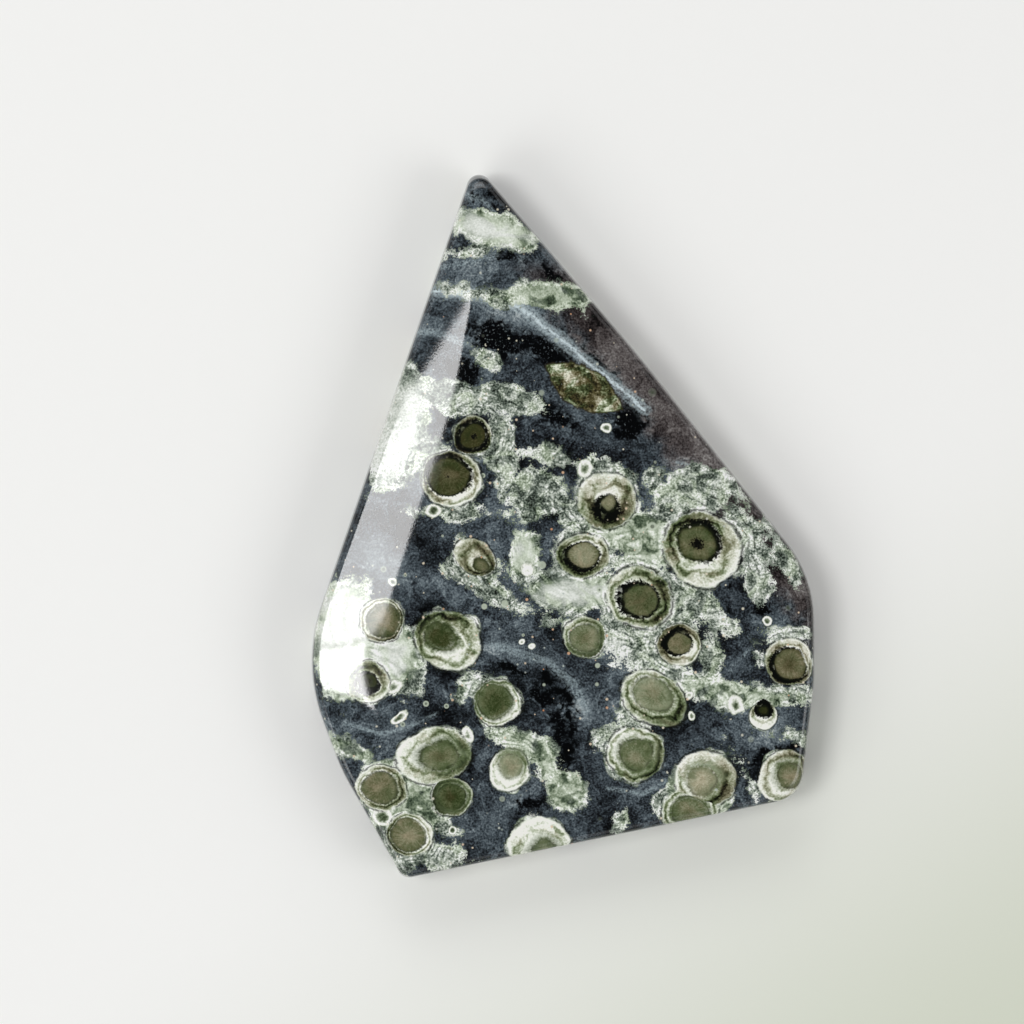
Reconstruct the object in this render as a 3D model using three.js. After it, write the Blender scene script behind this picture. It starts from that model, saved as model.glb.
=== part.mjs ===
// A polished freeform slab of kambaba jasper, 50 by 70 mm, lying on its flat back with the show face up.
// Millimetres, +Z up, origin under the middle of the slab, the pointed end towards +Y.
import * as THREE from "three";
import { mergeVertices } from "three/addons/utils/BufferGeometryUtils.js";

// Corners of the outline before rounding, clockwise seen from above, each with its rounding radius and
// how the radius changes with each millimetre inwards: pointed corners grow rounder, round ones stay parallel
const corners = [
  { name: "tip", x: -8.85, y: 36.2, round: 1.25, spread: 0.5 },
  { name: "right edge", x: 7.7, y: 16.8, round: 200, spread: -1 },
  { name: "right shoulder", x: 25.1, y: -5.2, round: 12.5, spread: -1 },
  { name: "right side", x: 25.15, y: -15.7, round: 20, spread: -1 },
  { name: "lower right", x: 23.75, y: -27.25, round: 3.3, spread: 0.5 },
  { name: "lower left", x: -16.0, y: -35.45, round: 1.3, spread: 0.5 },
  { name: "left side", x: -22.2, y: -24.5, round: 20, spread: -1 },
  { name: "left shoulder", x: -26.2, y: -13.9, round: 17, spread: -1 },
];

const thickness = 9.0; // at the middle of the domed face
const domeDrop = 1.3; // from the middle of the face to where its edge begins to turn
const domeReach = 20; // from the outline to the middle, measured square to the edge
const domePower = 3; // the face is nearly flat in the middle and falls faster near the edge
const upperEdge = 0.7; // radius where the face turns into the side
const lowerEdge = 1.5; // radius where the side turns into the back
const sideBulge = 0.2; // how far the side stands out at its middle height

const insetReach = 7; // rings keep parallel to the outline up to here and then shrink to the middle
const arcSteps = 8; // pieces in each rounded corner
const edgeSpacing = 4.5; // about how long the pieces between two corners are
const edgeSteps = 4;
const wallSteps = 4;
const faceSteps = 6;
const middleSteps = 5;

// Crossing of the two lines through points p and q with directions d and e
function crossing(p, d, q, e) {
  const t = ((q.x - p.x) * e.y - (q.y - p.y) * e.x) / (d.x * e.y - d.y * e.x);
  return p.clone().addScaledVector(d, t);
}

// The sides of the outline, each with a start, a direction, an inward normal and its number of pieces
const sides = corners.map((c, i) => {
  const next = corners[(i + 1) % corners.length];
  const start = new THREE.Vector2(c.x, c.y);
  const along = new THREE.Vector2(next.x - c.x, next.y - c.y);
  const pieces = Math.max(1, Math.round(along.length() / edgeSpacing));
  along.normalize();
  return { start, along, inward: new THREE.Vector2(along.y, -along.x), pieces };
});

// One closed ring of points, parallel to the outline and this far inside it
function ringInside(inset) {
  const arcs = corners.map((c, i) => {
    const before = sides[(i + sides.length - 1) % sides.length];
    const after = sides[i];
    const corner = crossing(
      before.start.clone().addScaledVector(before.inward, inset),
      before.along,
      after.start.clone().addScaledVector(after.inward, inset),
      after.along,
    );
    const radius = c.round + c.spread * inset;
    const turn = Math.acos(before.along.dot(after.along));
    const tangent = radius * Math.tan(turn / 2);
    const centre = corner
      .clone()
      .addScaledVector(before.along, -tangent)
      .addScaledVector(before.inward, radius);
    const first = Math.atan2(-before.inward.y, -before.inward.x);
    return Array.from({ length: arcSteps + 1 }, (_, k) => {
      const angle = first - (turn * k) / arcSteps;
      return new THREE.Vector2(Math.cos(angle), Math.sin(angle)).multiplyScalar(radius).add(centre);
    });
  });
  return arcs.flatMap((arc, i) => {
    const from = arc[arcSteps];
    const to = arcs[(i + 1) % arcs.length][0];
    const between = Array.from({ length: sides[i].pieces - 1 }, (_, k) =>
      from.clone().lerp(to, (k + 1) / sides[i].pieces),
    );
    return [...arc, ...between];
  });
}

// How far the domed face lies below its middle, for a depth measured in from the outline
const domeFall = (depth) => domeDrop * (1 - depth / domeReach) ** domePower;

// The slab's section from the flat back up the side and over the edge, as insets and heights
function edgeSection() {
  const wallTop = thickness - domeFall(0) - upperEdge;
  const wallHeight = wallTop - lowerEdge;
  const bulgeAt = (z) => sideBulge * ((2 * (z - lowerEdge)) / wallHeight - 1) ** 2;
  const section = [];
  for (let k = 0; k < edgeSteps; k++) {
    const angle = (k / edgeSteps) * (Math.PI / 2);
    section.push([sideBulge + lowerEdge * (1 - Math.sin(angle)), lowerEdge * (1 - Math.cos(angle))]);
  }
  for (let k = 0; k <= wallSteps; k++) {
    const z = lowerEdge + (wallHeight * k) / wallSteps;
    section.push([bulgeAt(z), z]);
  }
  for (let k = 1; k <= edgeSteps; k++) {
    const angle = (k / edgeSteps) * (Math.PI / 2);
    const depth = upperEdge * (1 - Math.cos(angle));
    const z = thickness - domeFall(depth) - upperEdge * (1 - Math.sin(angle));
    section.push([sideBulge + depth, z]);
  }
  for (let k = 1; k <= faceSteps; k++) {
    const depth = upperEdge + ((insetReach - upperEdge) * k) / faceSteps;
    section.push([sideBulge + depth, thickness - domeFall(depth)]);
  }
  return section;
}

// The mean of a ring's points
function middleOf(ring) {
  return ring.reduce((sum, p) => sum.add(p), new THREE.Vector2()).divideScalar(ring.length);
}

// All the rings of the slab's surface, from the back to near the middle of the face
function slabRings() {
  const rings = edgeSection().map(([inset, z]) => ringInside(inset).map((p) => new THREE.Vector3(p.x, p.y, z)));
  const last = rings[rings.length - 1];
  const middle = middleOf(last.map((p) => new THREE.Vector2(p.x, p.y)));
  for (let k = 1; k < middleSteps; k++) {
    const shrink = k / middleSteps;
    const z = thickness - domeFall(insetReach + (domeReach - insetReach) * shrink);
    rings.push(last.map((p) => new THREE.Vector3(p.x, p.y, z).lerp(new THREE.Vector3(middle.x, middle.y, z), shrink)));
  }
  return { rings, middle };
}

// A closed skin over the rings, with a fan at each end
function slabGeometry() {
  const { rings, middle } = slabRings();
  const count = rings[0].length;
  const points = [...rings.flat(), new THREE.Vector3(middle.x, middle.y, 0), new THREE.Vector3(middle.x, middle.y, thickness)];
  const backMiddle = points.length - 2;
  const faceMiddle = points.length - 1;
  const triangles = [];
  for (let i = 0; i < count; i++) {
    const next = (i + 1) % count;
    for (let r = 0; r + 1 < rings.length; r++) {
      const low = r * count;
      const high = low + count;
      triangles.push(low + i, high + next, low + next, low + i, high + i, high + next);
    }
    const top = (rings.length - 1) * count;
    triangles.push(backMiddle, i, next, faceMiddle, top + next, top + i);
  }
  const geometry = new THREE.BufferGeometry().setFromPoints(points).setIndex(triangles);
  geometry.computeBoundingBox();
  const box = geometry.boundingBox;
  geometry.translate(-(box.min.x + box.max.x) / 2, -(box.min.y + box.max.y) / 2, -box.min.z);
  const merged = mergeVertices(geometry, 1e-4);
  merged.computeVertexNormals();
  return merged;
}

const polishedJasper = new THREE.MeshStandardMaterial({ color: 0x4c5a55, roughness: 0.08, metalness: 0 });

const stone = new THREE.Mesh(slabGeometry(), polishedJasper);
stone.name = "stone";

const slab = new THREE.Group();
slab.add(stone);

export default slab;
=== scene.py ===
import math

import bpy
import numpy as np
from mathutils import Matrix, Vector


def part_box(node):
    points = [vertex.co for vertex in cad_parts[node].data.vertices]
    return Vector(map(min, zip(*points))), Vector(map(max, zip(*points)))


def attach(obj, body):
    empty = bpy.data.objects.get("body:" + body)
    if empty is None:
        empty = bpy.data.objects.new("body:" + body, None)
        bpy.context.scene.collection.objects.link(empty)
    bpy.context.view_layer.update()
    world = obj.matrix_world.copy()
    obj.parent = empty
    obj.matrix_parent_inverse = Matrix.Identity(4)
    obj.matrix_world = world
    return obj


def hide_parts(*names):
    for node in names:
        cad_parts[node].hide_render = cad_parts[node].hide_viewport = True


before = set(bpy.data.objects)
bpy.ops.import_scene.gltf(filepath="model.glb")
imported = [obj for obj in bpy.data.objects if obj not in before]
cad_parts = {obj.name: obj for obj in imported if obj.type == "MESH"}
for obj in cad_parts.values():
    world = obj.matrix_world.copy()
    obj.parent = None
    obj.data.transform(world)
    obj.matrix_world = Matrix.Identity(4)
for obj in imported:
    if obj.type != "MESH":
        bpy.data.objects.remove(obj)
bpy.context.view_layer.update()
millimetre = 0.001
print("frame loaded")


# Camera, straight above the stone as in the photograph

cameraSettings = {
    "middle": (-5.1, 1.4),  # what lies in the middle of the picture, in millimetres
    "height": 500.0,  # above the widest outline of the stone
    "outlineHeight": 4.5,  # of the widest outline above the floor
    "pictureWidth": 102.4,  # seen across the picture at the outline
    "sensor": 36.0,
}


def makeCamera(s):
    data = bpy.data.cameras.new("overhead camera")
    data.sensor_width = s["sensor"]
    data.lens = s["sensor"] * s["height"] / s["pictureWidth"]
    camera = bpy.data.objects.new("overhead camera", data)
    x, y = s["middle"]
    camera.location = Vector((x, y, s["height"] + s["outlineHeight"])) * millimetre
    bpy.context.scene.collection.objects.link(camera)
    bpy.context.scene.camera = camera


makeCamera(cameraSettings)
bpy.context.scene.view_settings.view_transform = "Standard"
print("camera placed")


# The slab's form, the same rings as in the construction but finer. Millimetres.

slabForm = {
    # corners of the outline before rounding, clockwise from above: x, y, rounding radius, and how
    # the radius changes inwards, where pointed corners grow rounder and round ones stay parallel
    "corners": {
        "tip": (-8.85, 36.2, 1.25, 0.5),
        "right edge": (7.7, 16.8, 200, -1),
        "right shoulder": (25.1, -5.2, 12.5, -1),
        "right side": (25.15, -15.7, 20, -1),
        "lower right": (23.75, -27.25, 3.3, 0.5),
        "lower left": (-16.0, -35.45, 1.3, 0.5),
        "left side": (-22.2, -24.5, 20, -1),
        "left shoulder": (-26.2, -13.9, 17, -1),
    },
    "thickness": 9.0,
    "domeDrop": 1.3,  # from the middle of the face to where its edge begins to turn
    "domeReach": 20.0,  # from the outline to the middle, square to the edge
    "domePower": 3,
    "upperEdge": 0.7,
    "lowerEdge": 1.5,
    "sideBulge": 0.2,
    "insetReach": 7.0,  # rings keep parallel to the outline up to here, then shrink
    "smoothFrom": (3.5, 7.0),  # depths between which the face passes into its smooth middle
    "smoothDegree": 6,
    "fitFrom": 2.5,  # depth from which the face's heights are fitted
    "fitReach": 30.0,  # half width of the square that the fit covers
    "spacing": 0.36,  # between points along the outline
    "arcSteps": 14,
    "edgeSteps": 7,
    "wallSteps": 9,
    "faceSteps": 26,
    "middleSteps": 46,
    "backSteps": 6,
}


def crossing(p, d, q, e):
    t = ((q[0] - p[0]) * e[1] - (q[1] - p[1]) * e[0]) / (d[0] * e[1] - d[1] * e[0])
    return p + d * t


def outlineSides(s):
    points = [np.array(c[:2], float) for c in s["corners"].values()]
    sides = []
    for i, start in enumerate(points):
        run = points[(i + 1) % len(points)] - start
        length = np.linalg.norm(run)
        along = run / length
        sides.append((start, along, np.array((along[1], -along[0])), int(length / s["spacing"])))
    return sides


def ringInside(s, sides, inset):
    # one closed ring of points, parallel to the outline and this far inside it
    arcs = []
    for i, c in enumerate(s["corners"].values()):
        start, along, inward, pieces = sides[i - 1]
        nextStart, nextAlong, nextInward, nextPieces = sides[i]
        corner = crossing(start + inward * inset, along, nextStart + nextInward * inset, nextAlong)
        radius = c[2] + c[3] * inset
        turn = math.acos(along @ nextAlong)
        centre = corner - along * radius * math.tan(turn / 2) + inward * radius
        angles = math.atan2(-inward[1], -inward[0]) - turn * np.linspace(0, 1, s["arcSteps"] + 1)
        arcs.append(centre + radius * np.stack((np.cos(angles), np.sin(angles)), 1))
    ring = []
    for i, arc in enumerate(arcs):
        pieces = sides[i][3]
        shares = np.arange(1, pieces)[:, None] / pieces
        ring += [arc, arc[-1] * (1 - shares) + arcs[(i + 1) % len(arcs)][0] * shares]
    return np.concatenate(ring)


def domeFall(s, depth):
    return s["domeDrop"] * (1 - depth / s["domeReach"]) ** s["domePower"]


def edgeSection(s):
    # insets and heights from the flat back up the side, over the edge and onto the face
    wallTop = s["thickness"] - domeFall(s, 0) - s["upperEdge"]
    wallHeight = wallTop - s["lowerEdge"]
    section = []
    for angle in np.linspace(0, math.pi / 2, s["edgeSteps"], endpoint=False):
        inset = s["sideBulge"] + s["lowerEdge"] * (1 - math.sin(angle))
        section.append((inset, s["lowerEdge"] * (1 - math.cos(angle))))
    for z in np.linspace(s["lowerEdge"], wallTop, s["wallSteps"] + 1):
        section.append((s["sideBulge"] * (2 * (z - s["lowerEdge"]) / wallHeight - 1) ** 2, z))
    for angle in np.linspace(0, math.pi / 2, s["edgeSteps"] + 1)[1:]:
        depth = s["upperEdge"] * (1 - math.cos(angle))
        z = s["thickness"] - domeFall(s, depth) - s["upperEdge"] * (1 - math.sin(angle))
        section.append((s["sideBulge"] + depth, z))
    for depth in np.linspace(s["upperEdge"], s["insetReach"], s["faceSteps"] + 1)[1:]:
        section.append((s["sideBulge"] + depth, s["thickness"] - domeFall(s, depth)))
    return section


def slabRings(s):
    sides = outlineSides(s)
    rings = [np.insert(ringInside(s, sides, inset), 2, z, axis=1) for inset, z in edgeSection(s)]
    backEdge = rings[0]
    lastRing = rings[-1]
    middle = lastRing[:, :2].mean(0)
    back = []
    for k in range(s["backSteps"] - 1, 0, -1):
        shrunk = middle + (backEdge[:, :2] - middle) * (1 - k / s["backSteps"])
        back.append(np.insert(shrunk, 2, 0.0, axis=1))
    face = []
    for k in range(1, s["middleSteps"]):
        share = k / s["middleSteps"]
        depth = s["insetReach"] + (s["domeReach"] - s["insetReach"]) * share
        shrunk = middle + (lastRing[:, :2] - middle) * (1 - share)
        face.append(np.insert(shrunk, 2, s["thickness"] - domeFall(s, depth), axis=1))
    return back, rings, face, middle


def smoothMiddle(s, points, depth):
    # one smooth surface fitted through the face's inner heights takes the place of the rings' own
    inner = depth > s["fitFrom"]
    x, y = points[:, 0] / s["fitReach"], points[:, 1] / s["fitReach"]
    powers = [(i, j) for i in range(s["smoothDegree"] + 1) for j in range(s["smoothDegree"] + 1 - i)]
    terms = np.stack([x ** i * y ** j for i, j in powers], 1)
    factors = np.linalg.lstsq(terms[inner], points[inner, 2], rcond=None)[0]
    start, end = s["smoothFrom"]
    share = np.clip((depth - start) / (end - start), 0, 1)
    share = share * share * (3 - 2 * share)
    points[:, 2] += (terms @ factors - points[:, 2]) * share


def slabMesh(s):
    back, rings, face, middle = slabRings(s)
    allRings = back + rings + face
    count = len(allRings[0])
    points = np.concatenate(allRings + [[[*middle, 0.0]], [[*middle, s["thickness"]]]])
    # how far each ring of the face lies from the outline
    ringDepth = [0.0] * len(back) + [0.0 if z < s["thickness"] / 2 else inset for inset, z in edgeSection(s)]
    ringDepth += [s["insetReach"]] * len(face)
    depth = np.append(np.repeat(ringDepth, count), (0.0, s["insetReach"]))
    smoothMiddle(s, points, depth)
    low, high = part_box("stone")
    wanted = np.array(high - low) / millimetre
    points = (points - points.min(0)) / np.ptp(points, axis=0) * wanted + np.array(low) / millimetre
    faces = []
    backPole = len(points) - 2
    facePole = backPole + 1
    top = (len(allRings) - 1) * count
    for r in range(len(allRings) - 1):
        for i in range(count):
            j = (i + 1) % count
            faces.append((r * count + i, (r + 1) * count + i, (r + 1) * count + j, r * count + j))
    for i in range(count):
        j = (i + 1) % count
        faces.append((backPole, i, j))
        faces.append((facePole, top + j, top + i))
    mesh = bpy.data.meshes.new("stone slab")
    mesh.from_pydata((points * millimetre).tolist(), [], faces)
    mesh.update()
    attribute = mesh.attributes.new("depth", "FLOAT", "POINT")
    attribute.data.foreach_set("value", depth.astype(np.float32))
    wallStart = len(back) + s["edgeSteps"] // 2
    wallEnd = len(back) + len(rings) - s["faceSteps"] - s["edgeSteps"] // 2
    unwrapSlab(mesh, points, wallStart, wallEnd, count)
    return mesh


def unwrapSlab(mesh, points, wallStart, wallEnd, count):
    # the face and the back side by side, and the wall in two strips above them, on a square sheet
    size = 104.0
    faceMiddle, backMiddle, middleHeight = 26.5, 77.5, 38.0
    stripStart, stripHeight, stripGap = 1.0, 78.0, 11.0
    ring = points[(wallStart + 4) * count:(wallStart + 5) * count]
    run = np.append(0, np.cumsum(np.linalg.norm(np.roll(ring, -1, 0) - ring, axis=1)))
    half = run[-1] / 2
    layer = mesh.uv_layers.new(name="OFBake")
    for polygon in mesh.polygons:
        corners = list(polygon.vertices)
        row = min(corners) // count
        onWall = wallStart <= row < wallEnd
        columns = [v % count for v in corners]
        wraps = max(columns) - min(columns) > count / 2
        middleRun = run[min(columns)] if not wraps else run[-2]
        for loop, v in zip(polygon.loop_indices, corners):
            x, y, z = points[v]
            if onWall:
                column = v % count
                along = run[-1] if wraps and column == 0 else run[column]
                strip = 1 if middleRun >= half else 0
                place = (stripStart + along - strip * half, stripHeight + strip * stripGap + z)
            elif row < wallStart or v == len(points) - 2:
                place = (backMiddle - x, middleHeight + y)
            else:
                place = (faceMiddle + x, middleHeight + y)
            layer.data[loop].uv = (place[0] / size, place[1] / size)


stoneMesh = slabMesh(slabForm)
print("slab modelled", len(stoneMesh.polygons), "faces")


# Shader maths written as expressions

class Wire:
    # an output socket; + - * / between wires, numbers and tuples add one maths node each

    def __init__(self, graph, socket):
        self.graph = graph
        self.socket = socket
        self.flat = socket.type == "VALUE"

    def __add__(self, other):
        return self.graph.maths("ADD", self, other)

    def __radd__(self, other):
        return self.graph.maths("ADD", other, self)

    def __sub__(self, other):
        return self.graph.maths("SUBTRACT", self, other)

    def __rsub__(self, other):
        return self.graph.maths("SUBTRACT", other, self)

    def __mul__(self, other):
        return self.graph.maths("MULTIPLY", self, other)

    def __rmul__(self, other):
        return self.graph.maths("MULTIPLY", other, self)

    def __truediv__(self, other):
        return self.graph.maths("DIVIDE", self, other)

    def __rtruediv__(self, other):
        return self.graph.maths("DIVIDE", other, self)


class Graph:
    # a material's nodes, cleared and built again

    def __init__(self, tree):
        self.nodes = tree.nodes
        self.links = tree.links
        self.nodes.clear()

    def node(self, kind, settings=None, values=None, output=0):
        # any node: its settings are set first, then its sockets get their values or links
        made = self.nodes.new(kind)
        made.location = (len(self.nodes) % 30 * 180, len(self.nodes) // 30 * -260)
        for name, value in (settings or {}).items():
            if name == "stops":
                self.fillRamp(made.color_ramp, value)
            else:
                setattr(made, name, value)
        for name, value in (values or {}).items():
            if isinstance(value, Wire):
                self.links.new(value.socket, made.inputs[name])
            else:
                made.inputs[name].default_value = value
        return Wire(self, made.outputs[output]) if made.outputs else made

    def fillRamp(self, ramp, stops):
        while len(ramp.elements) < len(stops):
            ramp.elements.new(0.5)
        for element, (position, shade) in zip(ramp.elements, stops):
            element.position = position
            element.color = shade

    def maths(self, operation, *values, output=0):
        vector = any(isinstance(v, tuple) or (isinstance(v, Wire) and not v.flat) for v in values)
        kind = "ShaderNodeVectorMath" if vector else "ShaderNodeMath"
        if vector:
            values = [self.vector(v) for v in values]
        return self.node(kind, {"operation": operation}, dict(enumerate(values)), output)

    def vector(self, value):
        # numbers and colours become vectors by nodes of their own, which keeps a large shader in order
        if isinstance(value, (int, float)):
            return (value, value, value)
        if isinstance(value, Wire) and value.flat:
            return self.node("ShaderNodeCombineXYZ", None, {0: value, 1: value, 2: value})
        if isinstance(value, Wire) and value.socket.type == "RGBA":
            made = self.node("ShaderNodeSeparateColor", None, {0: value}).socket.node
            parts = {i: Wire(self, made.outputs[i]) for i in range(3)}
            return self.node("ShaderNodeCombineXYZ", None, parts)
        return value

    def length(self, vector):
        return self.maths("LENGTH", vector, output=1)

    def dot(self, first, second):
        return self.maths("DOT_PRODUCT", first, second, output=1)

    def least(self, first, second):
        return self.maths("MINIMUM", first, second)

    def most(self, first, second):
        return self.maths("MAXIMUM", first, second)

    def rise(self, value, start, end):
        # 0 below start, 1 above end and smooth between; start may be the larger
        if start > end:
            return 1 - self.rise(value, end, start)
        values = {"Value": value, "From Min": start, "From Max": end}
        return self.node("ShaderNodeMapRange", {"interpolation_type": "SMOOTHSTEP"}, values)

    def blend(self, factor, first, second):
        # numbers
        return self.node("ShaderNodeMix", {"data_type": "FLOAT"}, {0: factor, 2: first, 3: second})

    def blendVector(self, factor, first, second):
        return self.node("ShaderNodeMix", {"data_type": "VECTOR"}, {0: factor, 4: first, 5: second}, 1)

    def blendColour(self, factor, first, second):
        return self.node("ShaderNodeMix", {"data_type": "RGBA"}, {0: factor, 6: first, 7: second}, 2)

    def ramp(self, value, stops):
        return self.node("ShaderNodeValToRGB", {"stops": stops}, {"Fac": value})

    def split(self, vector):
        made = self.node("ShaderNodeSeparateXYZ", None, {"Vector": vector}).socket.node
        return [Wire(self, made.outputs[i]) for i in range(3)]

    def noise(self, place, size, detail=2.0, roughness=0.5, distortion=0.0):
        # size is the width of its features in the units of place
        values = {"Vector": place, "Scale": 1 / size, "Detail": detail}
        values.update({"Roughness": roughness, "Distortion": distortion})
        return self.node("ShaderNodeTexNoise", None, values)

    def shake(self, place, size, detail, amount):
        # a vector that wanders up to about this amount each way
        values = {"Vector": place, "Scale": 1 / size, "Detail": detail}
        colour = self.node("ShaderNodeTexNoise", None, values, 1)
        return (self.vector(colour) - 0.5) * (2 * amount)

    def painted(self, name):
        return self.node("ShaderNodeAttribute", {"attribute_name": name}, None, "Fac")

    def cells(self, place, size, randomness=1.0):
        # distance, colour and place of the nearest of a scatter of points, in cell widths
        values = {"Vector": place / size, "Scale": 1.0, "Randomness": randomness}
        made = self.node("ShaderNodeTexVoronoi", None, values).socket.node
        distance, colour, centre = [Wire(self, made.outputs[i]) for i in range(3)]
        return distance, self.vector(colour), centre


def linearShare(value):
    # how bright a screen value of 0 to 255 is, from 0 to 1
    share = value / 255
    return share / 12.92 if share <= 0.04045 else ((share + 0.055) / 1.055) ** 2.4


def shade(red, green, blue):
    return (linearShare(red), linearShare(green), linearShare(blue), 1.0)


# The orbs of the face. Millimetres and degrees. size is the pale mantle's half widths, core the
# core's shift and radius, ring the side where the dark ring is thicker and its width, tone the
# core's hue from green to brown, its lightness and the radius of its black spot or, below 0, how
# green the ring is, pale the mantle's paler side and how pale it is.

orbs = {
    "eye": dict(at=(13.8, -2.3), size=(3.9, 3.6), turn=-40, core=(-0.5, 0.6, 1.8), ring=(0.7, 0.5, 0.42),
                tone=(0.5, 0.45, 0.75), pale=(0.5, -0.7, 0.48)),
    "button": dict(at=(7.5, -7.1), size=(3.3, 3.0), turn=-30, core=(0.15, -0.25, 1.7), ring=(-0.5, 0.1, 0.5),
                   tone=(0.5, 0.50, 0), pale=(-0.8, 0.2, 0.44)),
    "half moon": dict(at=(4.3, 2.5), size=(2.9, 2.8), turn=0, core=(0.2, -0.2, 0.85), ring=(-0.45, -0.9, 0.62),
                      tone=(0.6, 0.66, 0), pale=(-0.2, 0.9, 0.46)),
    "biscuit": dict(at=(1.85, -2.95), size=(2.6, 2.2), turn=0, core=(0.1, 0.1, 1.45), ring=(-0.6, -0.6, 0.34),
                    tone=(0.6, 0.66, 0), pale=(0.4, 0.6, 0.46)),
    "pea": dict(at=(2.1, -11.0), size=(2.2, 2.1), turn=0, core=(0, -0.05, 1.5), ring=(0.5, -0.8, 0.2),
                tone=(0.35, 0.58, -0.8), pale=(-0.5, 0.6, 0.42)),
    "comma": dict(at=(11.4, -11.8), size=(2.2, 2.0), turn=0, core=(0.15, 0.05, 1.1), ring=(-0.8, 0.5, 0.38),
                  tone=(0.75, 0.58, 0), pale=(0.7, -0.7, 0.46)),
    "clover": dict(at=(9.0, -17.1), size=(3.5, 2.45), turn=-30, core=(-0.1, 0.4, 1.7), ring=(0.5, 0.4, 0.14),
                   tone=(0.25, 0.66, -0.9), pale=(-0.5, 0.5, 0.5)),
    "lime": dict(at=(7.2, -22.6), size=(2.85, 2.7), turn=-20, core=(0.05, 0.05, 1.5), ring=(0.2, -0.2, 0.42),
                 tone=(0.3, 0.58, -1), pale=(-0.7, 0.6, 0.5)),
    "cap": dict(at=(14.1, -25.1), size=(3.0, 2.8), turn=0, core=(-0.3, -0.2, 1.3), ring=(0.2, 0.9, 0.45),
                tone=(0.7, 0.76, -1), pale=(-0.6, 0.6, 0.54)),
    "low lime": dict(at=(12.6, -28.5), size=(2.75, 2.6), turn=0, core=(0, 0, 1.8), ring=(0, 0, 0.15),
                     tone=(0.3, 0.54, -1), pale=(0.0, 0.6, 0.5)),
    "corner shell": dict(at=(22.1, -25.0), size=(2.7, 2.65), turn=0, core=(0.5, 0.1, 1.1),
                         ring=(-0.6, 0.6, 0.35), tone=(0.8, 0.6, -1), pale=(-0.6, -0.3, 0.54)),
    "bun": dict(at=(22.4, -13.5), size=(2.4, 2.35), turn=0, core=(0.15, -0.2, 1.5), ring=(-0.85, -0.4, 0.36),
                tone=(0.85, 0.5, 0), pale=(0.2, 0.8, 0.48)),
    "dark moon": dict(at=(19.8, -18.8), size=(1.45, 1.4), turn=0, core=(0, 0.45, 0.5), ring=(0.1, 0.3, 0.5),
                      tone=(0.5, 0.2, 0), pale=(0, -0.8, 0.62)),
    "dark wheel": dict(at=(-9.0, 8.9), size=(1.95, 1.95), turn=0, core=(0, 0, 1.3), ring=(0, 0, 0.42),
                       tone=(0.7, 0.36, 0.55), pale=(0.5, 0.5, 0.3)),
    "big wheel": dict(at=(-11.1, 4.6), size=(2.9, 2.75), turn=0, core=(-0.25, 0.25, 1.9), ring=(0.0, 0.5, 0.34),
                      tone=(0.7, 0.42, 0.4), pale=(0.6, -0.8, 0.5)),
    "smudge": dict(at=(-8.7, -3.1), size=(2.3, 1.7), turn=-40, core=(0.6, -0.8, 0.8), ring=(0.6, 0.7, 0.15),
                   tone=(0.8, 0.5, -0.5), pale=(-0.5, 0.6, 0.36)),
    "left pea": dict(at=(-18.0, -9.3), size=(2.2, 2.2), turn=0, core=(0.1, 0, 1.6), ring=(0.5, -0.8, 0.1),
                     tone=(0.75, 0.55, -0.6), pale=(-0.5, 0.3, 0.45)),
    "egg": dict(at=(-11.5, -11.3), size=(3.35, 2.9), turn=-30, core=(-0.7, 0.35, 1.55), ring=(-0.2, 0.1, 0.14),
                tone=(0.25, 0.38, -1), pale=(0.5, -0.8, 0.46)),
    "inkwell": dict(at=(-19.3, -15.5), size=(2.1, 2.0), turn=0, core=(0.1, 0.1, 0.8), ring=(-0.4, -0.4, 0.5),
                    tone=(0.4, 0.22, 0), pale=(0.3, -0.5, 0.5)),
    "clock": dict(at=(-6.55, -17.5), size=(2.4, 2.3), turn=0, core=(-0.2, 0.1, 1.7), ring=(-0.6, 0.5, 0.2),
                  tone=(0.2, 0.46, -1), pale=(0.8, -0.6, 0.56)),
    "bean": dict(at=(-12.85, -22.8), size=(3.75, 2.7), turn=10, core=(0.6, 0.0, 1.55), ring=(0.2, 0.1, 0.6),
                 tone=(0.3, 0.5, -1), pale=(-0.9, 0.2, 0.52)),
    "left coin": dict(at=(-18.15, -26.0), size=(2.5, 2.2), turn=-20, core=(-0.1, 0, 1.6), ring=(0.3, 0.2, 0.1),
                      tone=(0.6, 0.58, -0.3), pale=(-0.5, 0.4, 0.52)),
    "deep green": dict(at=(-11.1, -26.9), size=(2.0, 1.95), turn=0, core=(-0.05, 0, 1.3), ring=(0.2, 0, 0.35),
                       tone=(0.25, 0.37, -1), pale=(0.9, 0.2, 0.3)),
    "low coin": dict(at=(-15.3, -30.7), size=(2.3, 2.15), turn=0, core=(-0.1, 0, 1.65), ring=(-0.6, -0.6, 0.08),
                     tone=(0.65, 0.62, -0.3), pale=(0.9, 0.0, 0.52)),
    "milky": dict(at=(-5.4, -24.3), size=(2.05, 2.05), turn=0, core=(0.1, 0.5, 1.1), ring=(0.4, 0.8, 0.35),
                  tone=(0.3, 0.7, -1), pale=(-0.4, -0.9, 0.66)),
    "low milky": dict(at=(-2.4, -31.9), size=(3.1, 3.0), turn=0, core=(0.5, -0.8, 1.4), ring=(0.0, 0.5, 0.4),
                      tone=(0.2, 0.55, -1), pale=(-0.3, 0.9, 0.6)),
}

# Small beads, each a pale rim round a darker middle: x, y, half widths, turn in degrees

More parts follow.
